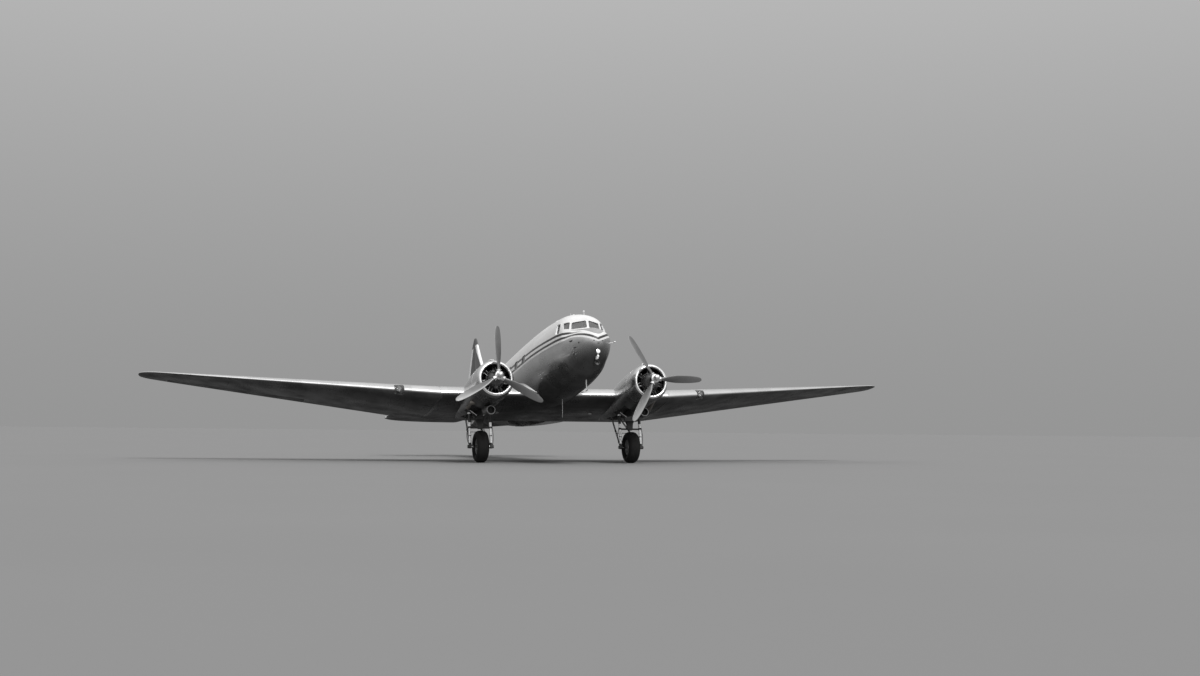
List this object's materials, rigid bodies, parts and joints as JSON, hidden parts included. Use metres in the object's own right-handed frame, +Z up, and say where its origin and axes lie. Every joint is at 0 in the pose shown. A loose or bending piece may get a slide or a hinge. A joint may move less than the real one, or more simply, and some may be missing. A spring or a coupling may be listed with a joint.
{
  "type": "twin-engined propeller airliner",
  "caption": "Low-wing airliner with radial engines, three-bladed propellers and a tail wheel, parked on its gear, with turning propellers and wheels, control surfaces, flaps and cabin door.",
  "frame": {"origin": "on the floor under the middle of the whole aircraft's box, parked on its three wheels", "axes": "+X to port, along the span; +Y aft; +Z up"},
  "size_m": [28.96, 19.6128, 5.1851],
  "materials": {
    "skin": "natural metal sheet with painted crown and stripes",
    "bright_metal": "polished metal",
    "steel": "bare and plated steel tube",
    "engine_grey": "grey enamel and bare fins",
    "dark_paint": "flat dark paint",
    "white_paint": "gloss white paint",
    "lamp": "clear lens over a bright reflector",
    "glass": "clear window glass",
    "tyre": "black rubber",
    "leather": "dark seat cover"
  },
  "bodies": {
    "airframe": {"nose_shell": "skin", "windshield_port": "glass", "windshield_starboard": "glass", "side_window_port": "glass", "side_window_starboard": "glass", "rear_side_window_port": "glass", "rear_side_window_starboard": "glass", "fuselage": "skin", "wing_centre": "skin", "wing_outer_port": "skin", "wing_outer_starboard": "skin", "landing_lamp_port": "lamp", "landing_lamp_starboard": "lamp", "fin": "skin", "stabiliser_port": "skin", "stabiliser_starboard": "skin", "nacelle_port": "skin", "nacelle_starboard": "skin", "cowl_port": "bright_metal", "cowl_starboard": "bright_metal", "carburettor_scoop_port": "skin", "carburettor_scoop_starboard": "skin", "oil_cooler_scoop_port": "skin", "oil_cooler_scoop_starboard": "skin", "exhaust_pipe_port": "steel", "exhaust_pipe_starboard": "steel", "engine_port": "engine_grey", "engine_starboard": "engine_grey", "main_gear_port": "steel", "main_gear_starboard": "steel", "gear_brace_port": "steel", "gear_brace_starboard": "steel", "tail_gear_leg": "steel", "pilot_seat_port": "leather", "pilot_seat_starboard": "leather", "instrument_panel": "dark_paint", "pitot_mast": "steel", "nose_lamp": "lamp", "loop_aerial": "white_paint"},
    "propeller_port": {"propeller_port": "bright_metal"},
    "propeller_starboard": {"propeller_starboard": "bright_metal"},
    "main_wheel_port": {"main_port_tyre": "tyre", "main_port_wheel": "bright_metal"},
    "main_wheel_starboard": {"main_starboard_tyre": "tyre", "main_starboard_wheel": "bright_metal"},
    "tail_fork": {"tail_fork": "steel"},
    "tail_wheel": {"tail_tyre": "tyre", "tail_wheel": "bright_metal"},
    "rudder": {"rudder": "skin"},
    "elevator_port": {"elevator_port": "skin"},
    "elevator_starboard": {"elevator_starboard": "skin"},
    "aileron_port": {"aileron_port": "skin"},
    "aileron_starboard": {"aileron_starboard": "skin"},
    "flap_centre": {"flap_centre": "skin"},
    "flap_port": {"flap_port": "skin"},
    "flap_starboard": {"flap_starboard": "skin"},
    "cabin_door": {"cabin_door": "skin"}
  },
  "joints": [
    {"name": "propeller_port_spin", "type": "hinge", "parent": "airframe", "child": "propeller_port", "pos_m": [2.82, -7.49085, 3.01229], "axis": [0, 0.9823, -0.1874], "continuous": true},
    {"name": "propeller_starboard_spin", "type": "hinge", "parent": "airframe", "child": "propeller_starboard", "pos_m": [-2.82, -7.49085, 3.01229], "axis": [0, 0.9823, -0.1874], "continuous": true},
    {"name": "main_wheel_port_spin", "type": "hinge", "parent": "airframe", "child": "main_wheel_port", "pos_m": [2.82, -4.92341, 0.56791], "axis": [1, 0, 0], "continuous": true},
    {"name": "main_wheel_starboard_spin", "type": "hinge", "parent": "airframe", "child": "main_wheel_starboard", "pos_m": [-2.82, -4.92341, 0.56791], "axis": [1, 0, 0], "continuous": true},
    {"name": "tail_swivel", "type": "hinge", "parent": "airframe", "child": "tail_fork", "pos_m": [0, 6.52739, 0.65], "axis": [0, 0, 1], "continuous": true},
    {"name": "tail_wheel_spin", "type": "hinge", "parent": "tail_fork", "child": "tail_wheel", "pos_m": [0, 6.67739, 0.27606], "axis": [1, 0, 0], "continuous": true},
    {"name": "rudder_turn", "type": "hinge", "parent": "airframe", "child": "rudder", "pos_m": [0, 7.95294, 3.12033], "axis": [0, 0.1874, 0.9823], "range_deg": [-30, 30]},
    {"name": "elevator_port_turn", "type": "hinge", "parent": "airframe", "child": "elevator_port", "pos_m": [2, 7.67187, 1.6469], "axis": [1, 0, 0], "range_deg": [-20, 30]},
    {"name": "elevator_starboard_turn", "type": "hinge", "parent": "airframe", "child": "elevator_starboard", "pos_m": [-2, 7.67187, 1.6469], "axis": [1, 0, 0], "range_deg": [-20, 30]},
    {"name": "aileron_port_turn", "type": "hinge", "parent": "airframe", "child": "aileron_port", "pos_m": [8.64, -1.46831, 2.2846], "axis": [0.9918, 0.0507, 0.1175], "range_deg": [-22, 22]},
    {"name": "aileron_starboard_turn", "type": "hinge", "parent": "airframe", "child": "aileron_starboard", "pos_m": [-8.64, -1.46831, 2.2846], "axis": [0.9918, -0.0507, -0.1175], "range_deg": [-22, 22]},
    {"name": "flap_centre_drop", "type": "hinge", "parent": "airframe", "child": "flap_centre", "pos_m": [0, -1.63325, 1.61325], "axis": [-1, 0, 0], "range_deg": [0, 45]},
    {"name": "flap_port_drop", "type": "hinge", "parent": "airframe", "child": "flap_port", "pos_m": [4.34, -1.62993, 1.62258], "axis": [-0.9901, -0.047, -0.132], "range_deg": [0, 45]},
    {"name": "flap_starboard_drop", "type": "hinge", "parent": "airframe", "child": "flap_starboard", "pos_m": [-4.34, -1.62993, 1.62258], "axis": [-0.9901, 0.047, 0.132], "range_deg": [0, 45]},
    {"name": "cabin_door_swing", "type": "hinge", "parent": "airframe", "child": "cabin_door", "pos_m": [1.1129, 2.15166, 2.5625], "axis": [0, -0.1874, -0.9823], "range_deg": [0, 110]}
  ],
  "couplings": [
    {"joint": "elevator_starboard_turn", "follows": "elevator_port_turn", "ratio": 1},
    {"joint": "aileron_starboard_turn", "follows": "aileron_port_turn", "ratio": -1},
    {"joint": "flap_port_drop", "follows": "flap_centre_drop", "ratio": 1},
    {"joint": "flap_starboard_drop", "follows": "flap_centre_drop", "ratio": 1}
  ]
}
